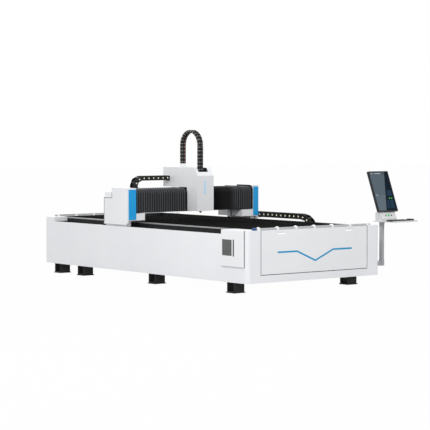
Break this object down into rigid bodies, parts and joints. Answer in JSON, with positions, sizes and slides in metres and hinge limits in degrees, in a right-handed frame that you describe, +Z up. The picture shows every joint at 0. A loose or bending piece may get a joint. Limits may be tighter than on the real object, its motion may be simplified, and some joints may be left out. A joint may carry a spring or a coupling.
{
  "type": "fiber laser cutting machine",
  "caption": "Open flat-bed laser cutter: slatted sheet table, travelling gantry with bellows, lifting cutting head, cable chains, scrap drawer and swivelling operator console.",
  "frame": {"origin": "on the floor, under the middle of the machine's overall box", "axes": "+X towards the operator console, +Y along the bed away from the front edge, +Z up"},
  "size_m": [3.14, 4.72, 2.1064],
  "materials": {
    "white_panel": "satin",
    "black_paint": "satin",
    "table_steel": "mill",
    "slat_steel": "mill",
    "guide_steel": "ground",
    "aluminium": "satin",
    "bar_grey": "satin",
    "ball_white": "gloss",
    "stop_blue": "satin",
    "trim_blue": "gloss",
    "pane_grey": "satin",
    "bellows_cloth": "matte",
    "chain_black": "satin",
    "drive_black": "satin",
    "optic_silver": "satin",
    "nozzle_copper": "polished",
    "post_grey": "satin",
    "screen_glass": "gloss",
    "key_black": "matte",
    "monitor_grey": "satin",
    "button_green": "gloss",
    "button_dark": "gloss"
  },
  "bodies": {
    "bed": {"bed_left_side": "white_panel", "bed_right_side": "white_panel", "bed_front_frame": "white_panel", "bed_rear_frame": "white_panel", "table_frame": "table_steel", "feet": "black_paint", "slats": "slat_steel", "rail_guards": "black_paint", "guard_caps": "white_panel", "bed_guides": "guide_steel", "roller_bars": "bar_grey", "ball_rollers": "ball_white", "edge_stop": "stop_blue", "access_cover": "white_panel", "access_window": "pane_grey", "chain_tray": "white_panel", "long_chain_lower": "chain_black", "console_arm": "post_grey"},
    "scrap_drawer": {"drawer_front": "white_panel", "drawer_tray": "table_steel"},
    "gantry": {"beam": "black_paint", "gantry_legs": "white_panel", "left_end_cover": "white_panel", "right_end_cover": "white_panel", "end_trims": "trim_blue", "rail_blocks": "drive_black", "gantry_drives": "drive_black", "beam_guides": "guide_steel", "beam_chain_trough": "black_paint", "beam_chain_lower": "chain_black", "left_bellows": "bellows_cloth", "right_bellows": "bellows_cloth", "long_chain_upper": "chain_black"},
    "long_chain_turn": {"long_chain_bend": "chain_black"},
    "beam_chain_turn": {"beam_chain_bend": "chain_black"},
    "left_gear": {"left_pinion": "guide_steel"},
    "right_gear": {"right_pinion": "guide_steel"},
    "carriage": {"carriage_plate": "aluminium", "carriage_blocks": "drive_black", "carriage_drive": "drive_black", "head_cover": "white_panel", "beam_chain_upper": "chain_black", "lift_guides": "guide_steel", "lift_motor": "drive_black", "head_chain": "chain_black"},
    "carriage_gear": {"carriage_pinion": "guide_steel"},
    "screw": {"lift_screw": "guide_steel"},
    "head": {"lift_slide": "aluminium", "cutting_head": "optic_silver", "nozzle": "nozzle_copper"},
    "console": {"console_post": "post_grey", "control_box": "white_panel", "monitor": "monitor_grey", "screen": "screen_glass", "keyboard_tray": "white_panel", "keyboard": "key_black"},
    "start_key": {"start_button": "button_green"},
    "left_key": {"left_button": "button_dark"},
    "right_key": {"right_button": "button_dark"}
  },
  "joints": [
    {"name": "gantry_travel", "type": "slide", "parent": "bed", "child": "gantry", "axis": [0, 1, 0], "range_m": [-1.9, 1.2], "deforming": ["long_chain_upper", "long_chain_lower"]},
    {"name": "long_chain_roll", "type": "slide", "parent": "bed", "child": "long_chain_turn", "axis": [0, 1, 0], "range_m": [-0.96, 0.61]},
    {"name": "left_pinion_spin", "type": "hinge", "parent": "gantry", "child": "left_gear", "pos_m": [-1.38375, 0.698, 0.8], "axis": [0, 0, 1], "range_deg": [-2292.83, 3629.73]},
    {"name": "right_pinion_spin", "type": "hinge", "parent": "gantry", "child": "right_gear", "pos_m": [0.61375, 0.698, 0.8], "axis": [0, 0, 1], "range_deg": [-3629.73, 2292.83]},
    {"name": "head_travel", "type": "slide", "parent": "gantry", "child": "carriage", "axis": [1, 0, 0], "range_m": [-0.76, 0.76], "deforming": ["left_bellows", "right_bellows", "beam_chain_upper", "beam_chain_lower"]},
    {"name": "beam_chain_roll", "type": "slide", "parent": "gantry", "child": "beam_chain_turn", "axis": [1, 0, 0], "range_m": [-0.385, 0.385]},
    {"name": "carriage_pinion_spin", "type": "hinge", "parent": "carriage", "child": "carriage_gear", "pos_m": [-0.365, 0.52225, 1.25], "axis": [0, 0, 1], "range_deg": [-1452.49, 1452.49]},
    {"name": "head_lift", "type": "slide", "parent": "carriage", "child": "head", "axis": [0, 0, 1], "range_m": [-0.12, 0], "deforming": ["head_chain"]},
    {"name": "lift_screw_spin", "type": "hinge", "parent": "carriage", "child": "screw", "pos_m": [-0.365, 0.268, 1.2], "axis": [0, 0, 1], "range_deg": [-4321, 1]},
    {"name": "drawer_pull", "type": "slide", "parent": "bed", "child": "scrap_drawer", "axis": [0, -1, 0], "range_m": [0, 1.5]},
    {"name": "console_swivel", "type": "hinge", "parent": "bed", "child": "console", "pos_m": [1.22, -1.95, 0.3], "axis": [0, 0, 1], "range_deg": [-30, 60]},
    {"name": "start_press", "type": "slide", "parent": "console", "child": "start_key", "axis": [0, 0.8924, -0.4513], "range_m": [0, 0.004], "stiffness_N_per_m": 500, "springref_m": -0.004},
    {"name": "left_press", "type": "slide", "parent": "console", "child": "left_key", "axis": [0, 0.8924, -0.4513], "range_m": [0, 0.004], "stiffness_N_per_m": 500, "springref_m": -0.004},
    {"name": "right_press", "type": "slide", "parent": "console", "child": "right_key", "axis": [0, 0.8924, -0.4513], "range_m": [0, 0.004], "stiffness_N_per_m": 500, "springref_m": -0.004}
  ],
  "couplings": [
    {"joint": "long_chain_roll", "follows": "gantry_travel", "ratio": 0.5},
    {"joint": "left_pinion_spin", "follows": "gantry_travel", "rad_per_m": -33.333},
    {"joint": "right_pinion_spin", "follows": "gantry_travel", "rad_per_m": 33.333},
    {"joint": "beam_chain_roll", "follows": "head_travel", "ratio": 0.5},
    {"joint": "carriage_pinion_spin", "follows": "head_travel", "rad_per_m": 33.333},
    {"joint": "lift_screw_spin", "follows": "head_lift", "rad_per_m": 628.32}
  ]
}
